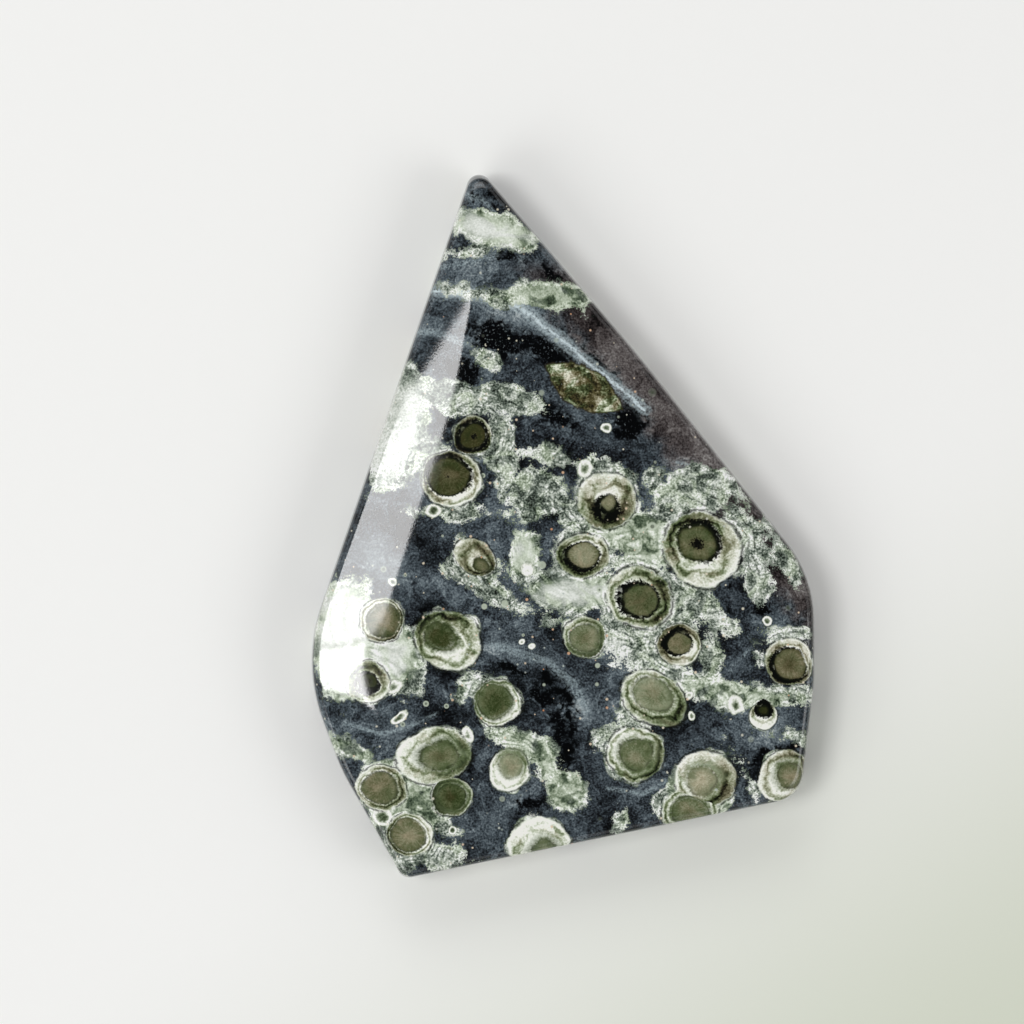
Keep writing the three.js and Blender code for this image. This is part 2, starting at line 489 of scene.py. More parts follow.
beads = {
    "seed": (17.0, -17.7, 0.8, 0.9, 0),
    "upper bead": (12.5, -16.7, 0.45, 0.45, 0),
    "lower bead": (12.7, -18.8, 0.4, 0.5, 0),
    "drop": (-12.85, 1.5, 0.8, 0.65, 0),
    "ringlet": (2.15, 5.7, 0.8, 0.95, 0),
    "keyhole": (-3.5, -4.2, 0.75, 0.75, 0),
    "left bead": (-17.0, -5.6, 0.45, 0.45, 0),
    "small brown": (-16.8, -15.9, 0.85, 0.8, 0),
    "dark seed": (-18.0, -28.9, 0.9, 0.85, 0),
    "low bead": (-10.9, -30.2, 0.4, 0.4, 0),
    "middle bead": (-9.4, -20.7, 0.55, 0.8, 20),
    "slit": (-16.25, -19.0, 1.1, 0.42, 30),
    "edge bead": (20.3, -9.35, 0.4, 0.4, 0),
    "upper pair": (4.2, 9.8, 0.5, 0.4, 0),
    "white dot": (-4.1, -11.3, 0.35, 0.3, 0),
    "white dots": (-3.1, -11.9, 0.45, 0.3, 0),
}

# Pale foam between the orbs, as overlapping blots: x, y, half widths, turn in degrees

foamBlots = {
    "top lens": (-7.0, 29.5, 4.5, 1.5, -15),
    "top lens tail": (-10.6, 27.1, 1.8, 0.3, 10),
    "upper band": (-1.6, 22.9, 4.4, 1.05, 0),
    "upper band tail": (-8.6, 22.9, 4.0, 0.4, -10),
    "under the gloss": (-17.0, 13.0, 3.6, 3.2, 20),
    "left middle": (-11.0, 12.6, 4.0, 1.5, -10),
    "middle patch": (-5.2, 12.8, 2.6, 1.2, -20),
    "small patch": (-8.0, 16.9, 1.0, 0.4, -40),
    "beside the wheels": (-6.1, 7.2, 1.4, 3.9, 0),
    "left of the wheels": (-13.5, 7.8, 2.6, 1.2, -10),
    "under the wheels": (-11.5, 1.4, 2.5, 0.45, 0),
    "ring chain": (-2.0, 7.0, 3.4, 0.7, -10),
    "ghost": (-2.7, 3.0, 2.6, 2.5, 0),
    "beside the half moon": (0.4, 1.6, 1.2, 2.8, 20),
    "half moon rim": (4.3, 2.4, 3.4, 3.2, 0),
    "white patch": (-3.9, -3.1, 1.4, 2.4, -10),
    "smudge cloud": (-8.6, -3.2, 2.3, 1.4, -40),
    "lower chain": (-7.2, -6.4, 4.0, 0.8, -30),
    "heart": (1.2, -6.3, 4.8, 2.2, 0),
    "above the heart": (1.9, -2.9, 3.1, 2.8, 0),
    "green lens": (6.9, -3.6, 2.6, 1.0, 0),
    "between": (8.0, -1.2, 5.6, 2.0, -20),
    "crown": (12.8, 2.9, 4.4, 2.6, 10),
    "crown side": (18.0, -1.0, 1.8, 4.0, 30),
    "small crown": (9.1, 4.4, 1.3, 0.9, 50),
    "button shawl": (8.0, -8.0, 5.2, 4.0, -10),
    "button skirt": (8.6, -11.2, 4.6, 2.6, 0),
    "right tail": (14.1, -8.2, 2.6, 1.2, -40),
    "comma side": (14.4, -12.8, 0.8, 1.8, 0),
    "right band": (16.5, -16.6, 4.4, 0.9, -10),
    "right band end": (21.8, -16.9, 3.2, 1.0, 10),
    "right post": (19.4, -14.2, 0.45, 1.6, 0),
    "over the bun": (22.4, -11.2, 1.8, 1.0, 0),
    "clover crown": (9.6, -14.2, 3.4, 0.7, -10),
    "clover side": (12.8, -16.0, 2.0, 0.7, -30),
    "edge froth": (21.8, -2.6, 0.6, 2.8, 28),
    "over the eye": (9.6, 0.8, 1.6, 1.6, 0),
    "lime collar": (6.4, -20.4, 2.2, 0.8, 20),
    "crown foot": (19.5, -5.7, 1.2, 1.4, 0),
    "clover foot": (6.8, -19.3, 1.2, 0.6, -20),
    "left cloud": (-16.2, -13.4, 2.4, 3.6, 20),
    "left edge cloud": (-21.6, -11.4, 3.0, 6.0, 0),
    "under the gloss low": (-16.4, 8.2, 2.6, 4.8, -20),
    "left edge strip": (-21.1, -22.2, 2.2, 0.6, -20),
    "coins": (-16.5, -26.8, 4.2, 3.0, -40),
    "coin foot": (-16.6, -31.6, 3.2, 2.2, -50),
    "coin gap": (-13.2, -28.2, 0.8, 2.2, 50),
    "lower edge": (-11.8, -33.0, 2.8, 0.9, 10),
    "milky cap": (-3.6, -21.7, 2.7, 1.0, -20),
    "milky cap end": (-1.7, -23.4, 0.8, 1.5, 20),
    "green star": (0.3, -26.2, 1.8, 1.7, 0),
    "low milky rim": (-3.4, -30.6, 1.6, 1.8, 0),
    "clock side": (-9.3, -15.9, 1.3, 0.8, 40),
    "cap cloud": (13.7, -26.4, 3.2, 3.0, 0),
    "cap side": (10.2, -27.6, 1.3, 1.3, 0),
    "low dab": (5.9, -29.6, 0.7, 1.0, 0),
    "right dab": (23.2, -21.1, 1.1, 0.3, -10),
    "slanting dab": (18.5, -25.4, 0.3, 1.4, 30),
}

# Where the foam is smooth, with plain outlines

calmBlots = {
    "top lens": (-6.9, 29.5, 4.2, 1.4, -15),
    "upper band": (-1.4, 22.9, 4.2, 1.1, 0),
    "white patch": (-3.9, -2.8, 1.3, 2.0, 0),
    "left cloud": (-16.8, -12.6, 2.2, 3.0, 20),
    "left edge cloud": (-21.6, -11.4, 3.0, 6.0, 0),
    "heart": (1.0, -6.6, 4.0, 1.6, 0),
    "milky cap": (-3.6, -21.7, 2.7, 1.0, -20),
    "milky cap end": (-1.7, -23.4, 0.8, 1.5, 20),
    "green star": (0.3, -26.2, 1.8, 1.7, 0),
    "low milky rim": (-3.4, -30.6, 1.6, 1.8, 0),
    "left edge strip": (-21.1, -22.2, 2.2, 0.6, -20),
    "coins": (-16.5, -26.8, 4.2, 3.0, -40),
    "cap cloud": (13.7, -26.4, 3.2, 3.0, 0),
    "right band": (16.5, -16.6, 4.4, 0.9, -10),
    "between": (8.0, -1.2, 5.6, 2.0, -20),
}

# Where the foam is brightest

brightBlots = {
    "top lens": (-7.4, 29.5, 3.8, 1.1, -15),
    "white patch": (-3.9, -2.6, 1.1, 1.6, 0),
    "left cloud": (-17.0, -12.6, 1.9, 2.4, 20),
    "left edge cloud": (-21.8, -11.2, 2.6, 5.4, 0),
    "under the gloss": (-16.8, 9.4, 2.2, 5.0, -20),
    "heart": (1.0, -6.6, 3.6, 1.2, 0),
    "skirt": (5.2, -13.6, 1.2, 2.4, 0),
}

# Black patches, in the same form

blackBlots = {
    "big black": (-6.5, 18.7, 2.9, 1.7, -15),
    "second black": (-1.3, 17.1, 3.4, 1.3, -28),
    "left black": (-10.1, 15.6, 1.8, 1.3, -40),
    "beside the wheel": (-12.0, 10.2, 0.7, 1.6, -10),
    "over the almond": (3.2, 16.0, 3.2, 0.8, -40),
    "under the almond": (6.6, 10.2, 1.6, 2.0, -30),
    "under the almond left": (-1.5, 11.4, 3.0, 1.0, -30),
    "clock black": (-2.6, -16.5, 1.6, 1.1, -30),
    "disc black": (-0.4, -19.6, 0.9, 2.2, 0),
    "low black": (-3.2, -27.6, 1.6, 0.7, 0),
    "middle black": (-5.1, -14.3, 1.1, 0.45, -20),
    "comma black": (7.9, -12.4, 0.8, 0.7, 0),
    "right black": (19.6, -8.0, 0.8, 0.9, 0),
    "shell shadow": (20.4, -22.6, 3.0, 0.7, 20),
    "tip black": (-5.6, 31.9, 2.4, 0.6, -40),
    "over the lens": (-7.4, 31.6, 1.6, 0.4, -40),
    "right notch": (-1.2, 25.0, 1.4, 0.6, -30),
    "left lens": (-5.2, 26.8, 1.8, 0.5, 0),
}

# Soft lighter and darker places in the matrix: x, y, half widths, turn, and how much lighter

toneBlots = {
    "haze along the vein": (-4.5, 21.2, 5.5, 1.2, -14, 0.08),
    "haze under the vein": (1.0, 17.0, 3.0, 1.2, -40, 0.05),
    "upper haze": (-9.5, 24.9, 3.6, 1.2, 10, 0.05),
    "tip haze": (-8.0, 33.0, 2.0, 1.6, 0, 0.05),
    "upper dark": (-2.2, 26.2, 2.4, 1.2, -50, -0.12),
    "round the wheels": (-5.0, 10.5, 3.0, 2.6, 0, -0.05),
    "right strip": (21.5, -5.0, 2.2, 6.0, 12, -0.06),
    "right foot": (24.0, -10.5, 1.6, 3.4, 0, -0.05),
    "over the egg": (-10.0, -6.6, 4.6, 1.6, -20, 0.05),
    "between egg and clock": (-9.6, -16.6, 4.4, 1.0, 30, 0.07),
    "under the egg": (-13.6, -16.2, 2.6, 2.0, 0, 0.05),
    "disc": (-2.4, -19.6, 3.0, 4.0, 0, -0.12),
    "low left": (-8.0, -29.0, 5.0, 3.0, 0, 0.05),
    "middle": (-2.0, 8.0, 6.0, 3.0, -20, -0.04),
    "disc rim": (1.9, -17.6, 0.9, 3.2, 10, 0.10),
    "round the pea": (0.6, -14.6, 2.6, 2.4, 0, -0.05),
    "right of the comma": (17.0, -11.0, 2.6, 2.6, 0, -0.05),
    "low middle": (1.6, -30.0, 3.4, 2.0, 0, -0.05),
    "low right": (17.6, -21.2, 3.6, 1.6, 0, 0.05),
}

# Light veins: points along each, and its half width

veins = {
    "vein haze": ([(-12.8, 23.4), (-5.4, 22.4), (-2.8, 20.6), (1.2, 17.3), (5.8, 13.5), (8.1, 11.5)], 0.5),
    "speckled vein": ([(-7.0, -11.8), (-4.2, -12.6), (-1.4, -13.6), (0.8, -15.4), (2.2, -18.2)], 0.34),
    "gloss vein": ([(-14.6, 19.4), (-12.0, 19.0), (-9.6, 18.0)], 0.2),
    "tip threads": ([(-10.0, 33.0), (-8.0, 32.4), (-6.4, 30.6)], 0.14),
    "upper threads": ([(-13.2, 25.6), (-9.6, 26.2), (-6.6, 27.0)], 0.2),
    "under the smudge": ([(-12.6, -5.4), (-11.0, -8.0), (-7.6, -9.4), (-4.6, -9.6)], 0.12),
    "right flow": ([(13.4, -15.2), (16.4, -14.6), (18.6, -12.0)], 0.12),
    "low flow": ([(4.4, -26.0), (8.0, -26.6), (10.4, -25.2)], 0.14),
    "left flow": ([(-21.6, -19.6), (-18.0, -20.6), (-15.6, -20.0), (-12.6, -18.6)], 0.16),
    "right edge flow": ([(10.0, 6.6), (13.6, 5.8), (16.6, 3.4)], 0.12),
}

# The long vein's bright line

longVein = [(-12.8, 23.4), (-9.0, 23.0), (-5.4, 22.3), (-2.8, 20.5), (1.2, 17.3), (5.8, 13.5), (8.1, 11.5)]

# Thin black arcs, in the same form

blackArcs = {
    "disc": ([(-1.4, -14.9), (0.4, -17.3), (0.8, -20.6), (0.3, -23.2), (-1.1, -25.1)], 0.75),
    "beside the eye": ([(16.2, 1.6), (17.4, -0.4), (17.5, -3.4), (16.4, -6.4)], 0.2),
    "beside the egg": ([(-13.9, -8.4), (-15.1, -10.2), (-15.0, -12.4)], 0.36),
    "under the bean": ([(-9.4, -21.4), (-9.0, -23.4), (-9.6, -25.2)], 0.25),
    "over the ghost": ([(-4.8, 5.4), (-2.6, 6.0), (-0.6, 5.2)], 0.25),
    "between": ([(5.0, -0.9), (8.4, -2.2), (10.4, -4.6)], 0.22),
}


# How the listed forms lie in the stone, in millimetres

formSettings = {
    "faceHeight": 8.0,
    "blotDepth": 4.0,  # how far a blot reaches below and above the face
    "strokeSlope": 0.2,  # how much height counts beside the distance across the face
    "softness": {"foam": 0.5, "calm": 0.6, "bright": 0.6, "black": 0.4},  # where two blots join
    "nothingNear": 9.0,
}


def turned(x, y, degrees):
    c, s = math.cos(math.radians(degrees)), math.sin(math.radians(degrees))
    return x * c + y * s, y * c - x * s


def blotReach(s, points, blot):
    # the points' distance from a blot's middle, 1 at its edge
    x, y, wide, tall, turn = blot[:5]
    across, along = turned(points[:, 0] - x, points[:, 1] - y, turn)
    height = (points[:, 2] - s["faceHeight"]) / s["blotDepth"]
    return np.sqrt((across / wide) ** 2 + (along / tall) ** 2 + height ** 2)


def blotField(s, points, table, softness):
    # distance in millimetres outside the nearest blot, smoothly joined
    field = np.full(len(points), s["nothingNear"])
    for blot in table.values():
        distance = (blotReach(s, points, blot) - 1) * min(blot[2:4])
        overlap = np.clip(softness - np.abs(distance - field), 0, None) / softness
        field = np.minimum(distance, field) - overlap ** 3 * softness / 6
    return field


def toneField(s, points):
    return sum(blot[5] * np.exp(-blotReach(s, points, blot) ** 2) for blot in toneBlots.values())


def strokeField(s, points, table):
    # distance from the nearest stroke, in its own half widths
    field = np.full(len(points), np.inf)
    height = (points[:, 2] - s["faceHeight"]) * s["strokeSlope"]
    for line, halfWidth in table.values():
        for start, end in zip(line, line[1:]):
            run = np.subtract(end, start)
            share = np.clip((points[:, :2] - start) @ run / (run @ run), 0, 1)
            off = points[:, :2] - start - share[:, None] * run
            distance = np.sqrt((off ** 2).sum(1) + height ** 2)
            field = np.minimum(field, distance / halfWidth)
    return field


def paintFields(s, mesh):
    # the broad forms go onto the mesh as attributes; the material adds everything finer
    points = np.zeros(len(mesh.vertices) * 3, np.float32)
    mesh.vertices.foreach_get("co", points)
    points = points.reshape(-1, 3) / millimetre
    blots = {"foam": foamBlots, "calm": calmBlots, "bright": brightBlots, "black": blackBlots}
    fields = {name: blotField(s, points, table, s["softness"][name]) for name, table in blots.items()}
    fields["tone"] = toneField(s, points)
    fields["vein"] = strokeField(s, points, veins)
    fields["arc"] = strokeField(s, points, blackArcs)
    for name, values in fields.items():
        attribute = mesh.attributes.new(name, "FLOAT", "POINT")
        attribute.data.foreach_set("value", values.astype(np.float32))


paintFields(formSettings, stoneMesh)


# The pointed almond: where it lies, its half widths and its turn

almond = dict(at=(2.0, 13.7), size=(4.35, 2.05), turn=-30)
print("pattern listed", len(orbs), "orbs")


# The pattern's shared noises: how far each is shifted, its feature size in millimetres, detail,
# roughness and distortion

noises = {
    "cloud": ((40.0, 7.0, 3.0), 5.0, 2.0, 0.5),
    "drift": ((11.0, 3.0, 5.0), 1.5, 3.0, 0.6, 0.6),
    "grain": ((3.0, 1.0, 9.0), 0.2, 1.0, 0.6),
    "thread": ((5.0, 8.0, 2.0), 0.75, 2.0, 0.6, 0.6),
    "flow": ((17.0, 23.0, 8.0), 3.0, 2.0, 0.5, 1.6),
    "sway": ((23.0, 5.0, 14.0), 2.4, 1.0, 0.5),
    "random foam": ((2.0, 6.0, 1.0), 5.0, 1.0),
}

# Colours from dark to light, each with its place on the ramp

ramps = {
    "ground": [
        (0.24, shade(8, 9, 10)), (0.38, shade(32, 37, 41)), (0.52, shade(67, 76, 82)),
        (0.66, shade(104, 115, 120)), (0.85, shade(168, 176, 177)),
    ],
    "brown ground": [
        (0.24, shade(16, 13, 13)), (0.38, shade(48, 42, 41)), (0.52, shade(80, 73, 71)),
        (0.66, shade(110, 104, 101)), (0.85, shade(160, 158, 154)),
    ],
    "grey foam": [
        (0.10, shade(18, 22, 19)), (0.30, shade(76, 86, 77)), (0.48, shade(130, 140, 128)),
        (0.66, shade(188, 194, 185)), (0.86, shade(233, 236, 232)),
    ],
    "green foam": [
        (0.10, shade(16, 23, 16)), (0.30, shade(72, 86, 68)), (0.48, shade(124, 137, 115)),
        (0.66, shade(181, 191, 173)), (0.86, shade(231, 236, 228)),
    ],
    "bead": [
        (0.10, shade(18, 22, 17)), (0.34, shade(72, 84, 62)), (0.55, shade(140, 150, 130)),
        (0.82, shade(230, 233, 224)),
    ],
    "green mantle": [
        (0.12, shade(16, 20, 11)), (0.30, shade(58, 69, 42)), (0.48, shade(110, 122, 90)),
        (0.66, shade(176, 184, 162)), (0.86, shade(226, 230, 220)),
    ],
    "brown mantle": [
        (0.12, shade(22, 17, 12)), (0.30, shade(76, 68, 52)), (0.48, shade(124, 116, 96)),
        (0.66, shade(182, 178, 160)), (0.86, shade(228, 229, 219)),
    ],
    "green ring": [(0.2, shade(40, 50, 30)), (0.5, shade(84, 98, 66)), (0.8, shade(138, 150, 122))],
    "green core": [
        (0.02, shade(6, 8, 5)), (0.36, shade(46, 57, 28)), (0.55, shade(87, 97, 67)),
        (0.76, shade(136, 144, 118)), (1.0, shade(200, 206, 186)),
    ],
    "brown core": [
        (0.02, shade(8, 7, 4)), (0.36, shade(56, 53, 30)), (0.55, shade(97, 93, 68)),
        (0.76, shade(146, 139, 114)), (1.0, shade(202, 198, 174)),
    ],
    "green almond": [
        (0.15, shade(24, 30, 16)), (0.40, shade(62, 70, 42)), (0.62, shade(124, 136, 104)),
        (0.88, shade(210, 214, 196)),
    ],
    "brown almond": [
        (0.15, shade(32, 29, 18)), (0.40, shade(76, 71, 44)), (0.62, shade(134, 130, 104)),
        (0.88, shade(212, 210, 192)),
    ],
    "speck": [
        (0.0, shade(168, 178, 172)), (0.7, shade(206, 200, 180)), (0.93, shade(204, 182, 156)),
        (1.0, shade(194, 136, 96)),
    ],
}

# Single colours of thin lines and small marks

marks = {
    "black patch": shade(5, 6, 7),
    "haze": shade(150, 166, 170),
    "vein": shade(188, 202, 206),
    "tiny rim": shade(176, 186, 168),
    "tiny middle": shade(58, 68, 52),
    "orb outline": shade(20, 23, 17),
    "black ring": shade(9, 11, 9),
    "core outline": shade(24, 29, 16),
    "black spot": shade(10, 11, 9),
    "almond outline": shade(44, 40, 30),
}

patternSettings = {
    "orbDepth": 8.2,  # height of the orbs' middles
    "listedFrom": 5.2,  # height down to which the listed pattern holds
    "scatterFrom": 3.2,  # height under which a scattered pattern has taken its place
    "warp": (2.4, 0.44),  # feature size and shift that bend every orb
    "frothSize": 0.85,
    "ringSpacing": 1.9,
    "speckSpacing": 0.9,
    "backOrbs": 6.4,  # spacing of the orbs inside and on the back
    "lift": (1.22, 1.21, 1.21),  # brings the finished colours to the light of the studio
    "palest": (0.92, 0.92, 0.92),
    "roughness": 0.035,
    "foamRoughness": 0.02,  # how much duller the foam is
    "bumpStrength": 0.04,
    "bumpHeight": 0.00002,
    "refraction": 1.54,
}


class TurnedPlaces:
    # the place in frames turned about the upright axis, made once for each angle that is used

    def __init__(self, graph, place):
        self.graph = graph
        self.place = place
        self.made = {0: place}

    def prepare(self, turns):
        for turn in sorted(set(turns) - set(self.made)):
            c, s = math.cos(math.radians(turn)), math.sin(math.radians(turn))
            across = self.graph.dot(self.place, (c, s, 0.0))
            along = self.graph.dot(self.place, (-s, c, 0.0))
            height = self.graph.dot(self.place, (0.0, 0.0, 1.0))
            self.made[turn] = self.graph.node("ShaderNodeCombineXYZ", None, {0: across, 1: along, 2: height})

    def ellipse(self, x, y, size, turn):
        # the place in an ellipse's own frame, where its skin lies at 1
        centre = (*turned(x, y, turn), patternSettings["orbDepth"])
        scale = tuple(1 / v for v in size)
        shift = tuple(-v / w for v, w in zip(centre, size))
        return self.graph.maths("MULTIPLY_ADD", self.made[turn], scale, shift)


def strokes(graph, place, points):
    # distance in millimetres from a line through the points
    distance = formSettings["nothingNear"]
    for start, end in zip(points, points[1:]):
        run = (end[0] - start[0], end[1] - start[1], 0.0)
        length = run[0] ** 2 + run[1] ** 2
        fromStart = place - (*start, formSettings["faceHeight"])
        share = graph.dot(fromStart, run) * (1 / length)
        share = graph.least(graph.most(share, 0.0), 1.0)
        off = graph.maths("MULTIPLY_ADD", share, (-run[0], -run[1], 0.0), fromStart)
        distance = graph.least(graph.length(off * (1.0, 1.0, formSettings["strokeSlope"])), distance)
    return distance


def nearestOrb(graph, places):
    # walks the list and keeps the closest orb's own frame and settings
    nearest = 8.0
    kept = [(9.0, 9.0, 9.0), (0.0, 0.0, 0.5), (0.0, 0.0, 0.1), (0.5, 0.5, 0.0), (0.0, 0.0, 0.5)]
    for orb in orbs.values():
        wide, tall = orb["size"]
        mean = (wide + tall) / 2
        here = places.ellipse(*orb["at"], (wide, tall, 1.0 + mean), orb["turn"])
        dx, dy, radius = orb["core"]
        shift = turned(dx, dy, orb["turn"])
        hue, light, spot = orb["tone"]
        facts = [
            here,
            (shift[0] / wide, shift[1] / tall, radius / mean),
            (*turned(*orb["ring"][:2], orb["turn"]), orb["ring"][2] / mean),
            (hue, light, spot / mean if spot > 0 else spot),
            (*turned(*orb["pale"][:2], orb["turn"]), orb["pale"][2]),
        ]
        reach = graph.length(here)
        closer = graph.maths("LESS_THAN", reach, nearest)
        nearest = graph.least(reach, nearest)
        kept = [graph.blendVector(closer, old, new) for old, new in zip(kept, facts)]
    return nearest, kept


def deepOrb(graph, place, nearest, kept):
    # a scatter of orbs inside the stone, for its sides and back, where none of the listed ones is near
    spacing = patternSettings["backOrbs"]
    distance, random, centre = graph.cells(place, spacing, 0.8)
    chance, spread, hue = graph.split(random)
    height = graph.split(centre)[2] * spacing
    radius = 1.5 + spread * 1.6
    here = (place - centre * spacing) / radius
    reach = graph.length(here)
    low = graph.maths("LESS_THAN", height, patternSettings["scatterFrom"])
    chosen = graph.maths("GREATER_THAN", chance, 0.25) * low * graph.maths("GREATER_THAN", nearest, 1.25)
    chosen = chosen * graph.maths("LESS_THAN", reach, 1.6)
    shift = (random - 0.5) * (0.4, 0.4, 0.0) + (0.0, 0.0, 0.58)
    tone = random * (0.9, 0.35, -1.4) + (0.1, 0.35, 0.3)
    darkRing = graph.rise(hue, 0.5, 0.7) * 0.16 + 0.03
    ring = random * (1.2, 1.2, 0.0) - (0.6, 0.6, 0.0) + darkRing * (0.0, 0.0, 1.0)
    pale = random * (1.6, 1.6, 0.2) + (-0.8, -0.8, 0.42)
    facts = [here, shift, ring, tone, pale]
    kept = [graph.blendVector(chosen, old, new) for old, new in zip(kept, facts)]
    return graph.blend(chosen, nearest, reach), kept


def band(graph, value, middle, halfWidth):
    # 1 at the middle, falling to 0 on both sides
    return graph.rise(graph.maths("ABSOLUTE", value - middle), halfWidth, 0.0)


def clipped(graph, value, highest=1.0):
    return graph.least(graph.most(value, 0.0), highest)


def betweenRamps(graph, share, tone, first, second):
    # the colours that two ramps give the same tone, blended
    return graph.blendColour(share, graph.ramp(tone, ramps[first]), graph.ramp(tone, ramps[second]))


class Pattern:
    # the places, noises and distances that all parts of the pattern read

    def __init__(self, graph):
        s = patternSettings
        self.graph = graph
        self.place = graph.node("ShaderNodeTexCoord", None, None, "Object") * (1 / millimetre)
        self.across, self.along, height = graph.split(self.place)
        size, amount = s["warp"]
        self.bent = self.place + graph.shake(self.place, size, 2.0, amount)
        self.inside = graph.rise(height, s["listedFrom"], s["scatterFrom"])
        self.onFace = 1 - self.inside
        self.places = TurnedPlaces(graph, self.bent)
        self.places.prepare([orb["turn"] for orb in orbs.values()])
        self.places.prepare([bead[4] for bead in beads.values()] + [almond["turn"]])
        self.cloud = self.noise("cloud")
        self.drift = self.noise("drift")
        self.grain = self.noise("grain")
        self.thread = self.noise("thread")
        self.flow = self.noise("flow")
        self.sway = self.noise("sway")
        nearest, kept = nearestOrb(graph, self.places)
        self.nearest, self.orb = deepOrb(graph, self.bent, nearest, kept)
        self.calm = graph.rise(graph.painted("calm"), 0.6, -0.2) * self.onFace
        self.fromFoam = self.foamDistance()

    def noise(self, name):
        shift, *settings = noises[name]
        return self.graph.noise(self.place + shift, *settings)

    def foamDistance(self):
        # millimetres outside the foam, which also hugs the orbs and has a ragged edge
        listed = self.graph.painted("foam")
        scattered = (0.56 - self.noise("random foam")) * 14.0
        field = self.graph.blend(self.inside, listed, scattered)
        froth = self.graph.cells(self.bent, patternSettings["frothSize"])[0]
        shaken = (self.sway - 0.5) * 2.6 + (froth - 0.42) * 0.35
        shaken = shaken + (self.thread - 0.5) * 1.0 + (self.grain - 0.5) * 1.3
        collar = (self.nearest - 1.05) * 3.0 + (self.sway - 0.5) * 2.4 + (self.grain - 0.5) * 0.5
        field = field - 0.28 + shaken * (1 - self.calm * 0.6)
        return self.graph.maths("SMOOTH_MIN", field, collar, 0.3)


def groundColour(graph, p):
    # blue-grey haze with thin wisps that flow round the pale forms, brown to the upper right
    halo = graph.most(graph.rise(p.nearest, 1.5, 1.02), graph.rise(p.fromFoam, 1.3, 0.0))
    stream = p.flow * 22.0 + graph.least(p.nearest, 3.0) * 5.0 + p.thread * 1.5
    wisps = graph.rise(graph.maths("SINE", stream), 0.2, 1.0)
    vein = graph.painted("vein") + (p.drift - 0.5) * 2.4
    tone = (p.cloud - 0.5) * 0.62 + (p.flow - 0.5) * 0.30 + (p.drift - 0.5) * 0.22 + (p.grain - 0.5) * 0.50
    tone = tone + wisps * 0.08 + graph.rise(vein, 5.0, 0.0) * 0.09 - halo * 0.05
    tone = tone + graph.painted("tone") + 0.462
    brownness = graph.rise(p.across * 0.78 + p.along * 0.62 + (p.drift - 0.5) * 5.0, 11.0, 14.0)
    brownness = brownness * graph.rise(p.along, 27.0, 24.0) * 0.85
    colour = betweenRamps(graph, brownness, tone, "ground", "brown ground")

    # black patches and arcs
    black = graph.rise(graph.painted("black") + (p.thread - 0.5) * 2.4 + (p.drift - 0.5) * 1.8, 0.34, -0.36)
    black = graph.most(black, graph.rise(p.cloud + (p.thread - 0.5) * 0.5, 0.32, 0.25) * 0.7)
    black = black * (1 - graph.rise(p.grain, 0.60, 0.74) * 0.4)
    black = graph.most(black, graph.rise(graph.painted("arc") + (p.thread - 0.5) * 4.0, 1.4, 0.4))
    colour = graph.blendColour(black, colour, marks["black patch"])

    # veins, grainy and streaked along their length
    streaks = graph.maths("SINE", vein * 6.0 + p.thread * 4.0) * 0.35 + (p.grain - 0.5) * 2.4 + 0.55
    strength = clipped(graph, graph.rise(vein, 2.4, 0.0) * streaks)
    colour = graph.blendColour(strength * 0.6, colour, marks["haze"])
    line = strokes(graph, p.bent, longVein) + (p.thread - 0.5) * 0.36 + (p.drift - 0.5) * 0.3
    streaks = graph.rise(line, 0.26, 0.04) * 0.66 + graph.rise(line, 0.8, 0.15) * 0.24
    streaks = streaks * (1.0 + (p.grain - 0.5) * 2.2 + (p.drift - 0.5) * 1.5)
    return graph.blendColour(clipped(graph, streaks, 0.95), colour, marks["vein"])


def addFoam(graph, p, colour):
    # pale lines that run round the orbs, with green-grey pools and white edges
    around = graph.least(p.nearest, 2.6)
    curls = graph.maths("SINE", around * 28.0 + p.sway * 18.0 + p.thread * 2.6)
    curls = curls * graph.rise(p.drift + (p.thread - 0.5) * 0.6, 0.42, 0.62)
    gaps = graph.rise(curls, 0.5, 1.0) * graph.rise(p.nearest, 2.3, 1.3)
    foam = graph.rise(p.fromFoam, 0.12, -0.12) * (1 - gaps * (1 - p.calm) * 0.5)
    swells = graph.maths("SINE", around * 9.0 + p.sway * 16.0 + p.thread * 1.5)
    bright = graph.rise(graph.painted("bright") + (p.thread - 0.5) * 0.8, 0.6, -0.6)
    edge = graph.most(band(graph, p.fromFoam, -0.20, 0.34) * 0.8, graph.rise(p.nearest, 1.24, 1.06))
    pools = graph.rise(p.drift + (p.flow - 0.5) * 1.0, 0.56, 0.38) * 0.24
    tone = (p.drift - 0.5) * 0.34 + (p.thread - 0.5) * 0.24 + (p.grain - 0.5) * (0.86 - p.calm * 0.44)
    tone = tone + swells * 0.08
    tone = (tone - curls * 0.07) * (1 - bright * 0.4) + 0.59 - (pools + gaps * 0.1) * (1 - bright)
    tone = tone + edge * 0.15 + bright * 0.12
    greener = graph.rise(p.flow + (p.calm - bright) * 0.2, 0.44, 0.66)
    return foam, graph.blendColour(foam, colour, betweenRamps(graph, greener, tone, "grey foam", "green foam"))


def addTinyRings(graph, p, colour):
    distance, random, centre = graph.cells(p.place, patternSettings["ringSpacing"])
    chance, size, hue = graph.split(random)
    reach = distance / (0.06 + size * size * 0.17)
    there = graph.maths("GREATER_THAN", chance, 0.6)
    rim = graph.rise(reach, 1.2, 0.9) * there * graph.rise(hue, 0.1, 0.7)
    middle = graph.rise(reach, 0.62, 0.4) * there
    colour = graph.blendColour(rim * 0.8, colour, marks["tiny rim"])
    return graph.blendColour(middle * 0.7, colour, marks["tiny middle"])


